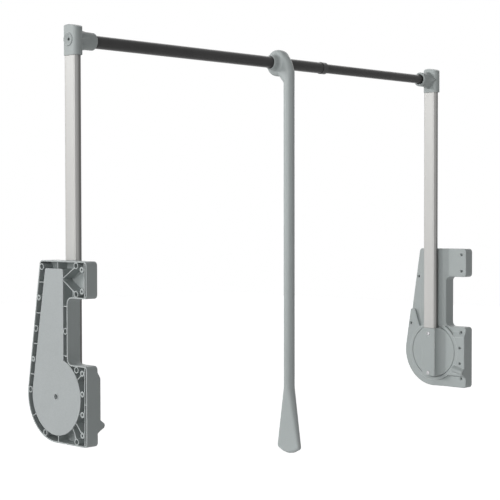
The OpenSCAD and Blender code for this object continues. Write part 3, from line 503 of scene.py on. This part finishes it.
def make_units(finishes):
    """Both wall units, their hubs, corner connectors and screws."""
    for side in SIDES:
        rounded_piece(f"{side}_housing", f"{side}_housing_shell", "housing_plastic", finishes,
            HOUSING_ROUNDING)
        rounded_piece(f"{side}_cover", f"{side}_cover_plate", "cover_plastic", finishes,
            COVER_ROUNDING)
        rounded_piece(f"{side}_hub", f"{side}_hub_disc", "housing_plastic", finishes,
            HUB_ROUNDING)
        blended_piece(f"{side}_connector", f"{side}_corner_piece", "housing_plastic", finishes,
            CONNECTOR_VOXEL, CONNECTOR_ROUNDS)
        for screws in ("arm_screws", "connector_screws"):
            rounded_piece(f"{side}_{screws}", f"{side}_{screws}_bright", "screw_steel",
                finishes, SCREW_ROUNDING, SCREW_SHARE)


def bore_plug(name, spare, length_share=1.0):
    """A cylinder along the handle's bore; spare is how much wider than the liner it is."""
    low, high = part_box("handle_liner")
    middle = (low + high) / 2
    radius = (high.z - low.z) / 2 + spare
    length = (high.x - low.x) * length_share
    form = bmesh.new()
    turn = Matrix.Translation(middle) @ Matrix.Rotation(math.pi / 2, 4, "Y")
    bmesh.ops.create_cone(form, cap_ends=True, segments=BORE_STEPS, radius1=radius,
        radius2=radius, depth=length, matrix=turn)
    return to_object(form, name)


def make_handle(finishes):
    """The pull handle as one skin, bored for its liner."""
    filler = bore_plug("bore_filler", FILLER_SPARE)
    cutter = bore_plug("bore_cutter", CUTTER_SPARE, CUTTER_LENGTH)
    blended_piece("pull_handle", "pull_handle_skin", "handle_plastic", finishes, HANDLE_VOXEL,
        HANDLE_ROUNDS, HANDLE_SWELL, filler, cutter)
    bpy.data.objects.remove(filler)
    bpy.data.objects.remove(cutter)


KEPT_FINISHES = {
    "arm": "arm_aluminium",
    "pivot_bush": "black_plastic",
    "thrust_ring": "black_plastic",
    "crank_pin": "steel",
    "crank_roller": "black_plastic",
    "carriage": "zinc",
    "tie_rod": "steel",
    "tie_nut": "steel",
    "spring_seat": "zinc",
    "spring": "spring_steel",
    "spring_cap": "black_plastic",
    "damper_cylinder": "black_plastic",
    "damper_rod": "steel",
}
ROD_FINISHES = {
    "outer_rod_tube": "rod_black",
    "rod_end_collar": "collar_black",
    "inner_rod_tube": "rod_black",
    "rod_guide_plug": "black_plastic",
    "rod_adapter": "collar_black",
    "handle_liner": "black_plastic",
}


def finish_kept_nodes(finishes):
    """Gives the CAD nodes that stay as they are their materials."""
    wanted = {f"{side}_{part}": slot for side in SIDES for part, slot in KEPT_FINISHES.items()}
    wanted.update(ROD_FINISHES)
    for node, slot in wanted.items():
        piece = nodes[node]
        for place in piece.material_slots:
            place.material = finishes[slot]


def press_springs():
    """Gives each coil spring its own copy of its mesh."""
    for side in SIDES:
        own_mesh(nodes[f"{side}_spring"])


# Floor, background and lights

FLOOR_Z = -0.95
FLOOR_HALF = 14.0
FLOOR_CELLS = 8
FLOOR_GREY = (0.8, 0.8, 0.8, 1)
WHITE = (1, 1, 1, 1)
WORLD_GREY = 0.20
KEY_STRENGTH = 1.5
KEY_FROM = Vector((-0.95, -0.17, 0.15))
KEY_SPREAD = math.radians(38)
BACK_STRENGTH = 1.3
BACK_FROM = Vector((-0.70, 0.66, 0.27))
BACK_SPREAD = math.radians(18)
FILL_STRENGTH = 0.9
FILL_FROM = Vector((0.75, 0.60, 0.30))
FILL_SPREAD = math.radians(60)
FLOOR_LIFT = 0.62


def background_rays(graph):
    """1 for rays that see the background: from the camera, or by gloss or glass."""
    total = graph.node("ShaderNodeLightPath", output="Is Camera Ray")
    for ray in ("Is Glossy Ray", "Is Transmission Ray"):
        total = total + graph.node("ShaderNodeLightPath", output=ray)
    return graph.stepped(total, 0.0, 1.0)


def make_world():
    """Plain soft light, and white where the background shows."""
    world = bpy.data.worlds.new("studio")
    scene.world = world
    world.use_nodes = True
    graph = Graph(world.node_tree)
    light = graph.mixed((WORLD_GREY, WORLD_GREY, WORLD_GREY, 1), WHITE,
        background_rays(graph))
    graph.feed(world.node_tree.nodes["Background"].inputs["Color"], light)


def make_floor():
    """A pale floor far below, lifted to white for the camera, which keeps the shadow."""
    form = bmesh.new()
    bmesh.ops.create_grid(form, x_segments=FLOOR_CELLS, y_segments=FLOOR_CELLS,
        size=FLOOR_HALF, matrix=Matrix.Translation((0, 0, FLOOR_Z)))
    floor = to_object(form, "studio_floor")
    finish = Finish("studio_floor", {"Roughness": 0.9, "Base Color": FLOOR_GREY})
    lift = background_rays(finish) * FLOOR_LIFT
    finish.set(Emission_Color=finish.shaded(WHITE[:3], lift))
    finish.surface.inputs["Emission Strength"].default_value = 1.0
    floor.data.materials.append(finish.material)


def make_lamp(name, strength, source, spread):
    """A broad distant lamp that shines from the direction source."""
    data = bpy.data.lights.new(name, "SUN")
    data.energy = strength
    data.angle = spread
    lamp = bpy.data.objects.new(name, data)
    lamp.rotation_euler = source.to_track_quat("Z", "Y").to_euler()
    scene.collection.objects.link(lamp)


def main():
    """Builds everything."""
    scene.view_settings.view_transform = "Standard"
    make_camera()
    finishes = make_finishes()
    make_units(finishes)
    make_handle(finishes)
    finish_kept_nodes(finishes)
    press_springs()
    make_world()
    make_floor()
    make_lamp("key", KEY_STRENGTH, KEY_FROM, KEY_SPREAD)
    make_lamp("back", BACK_STRENGTH, BACK_FROM, BACK_SPREAD)
    make_lamp("fill", FILL_STRENGTH, FILL_FROM, FILL_SPREAD)
    bpy.context.view_layer.update()


main()
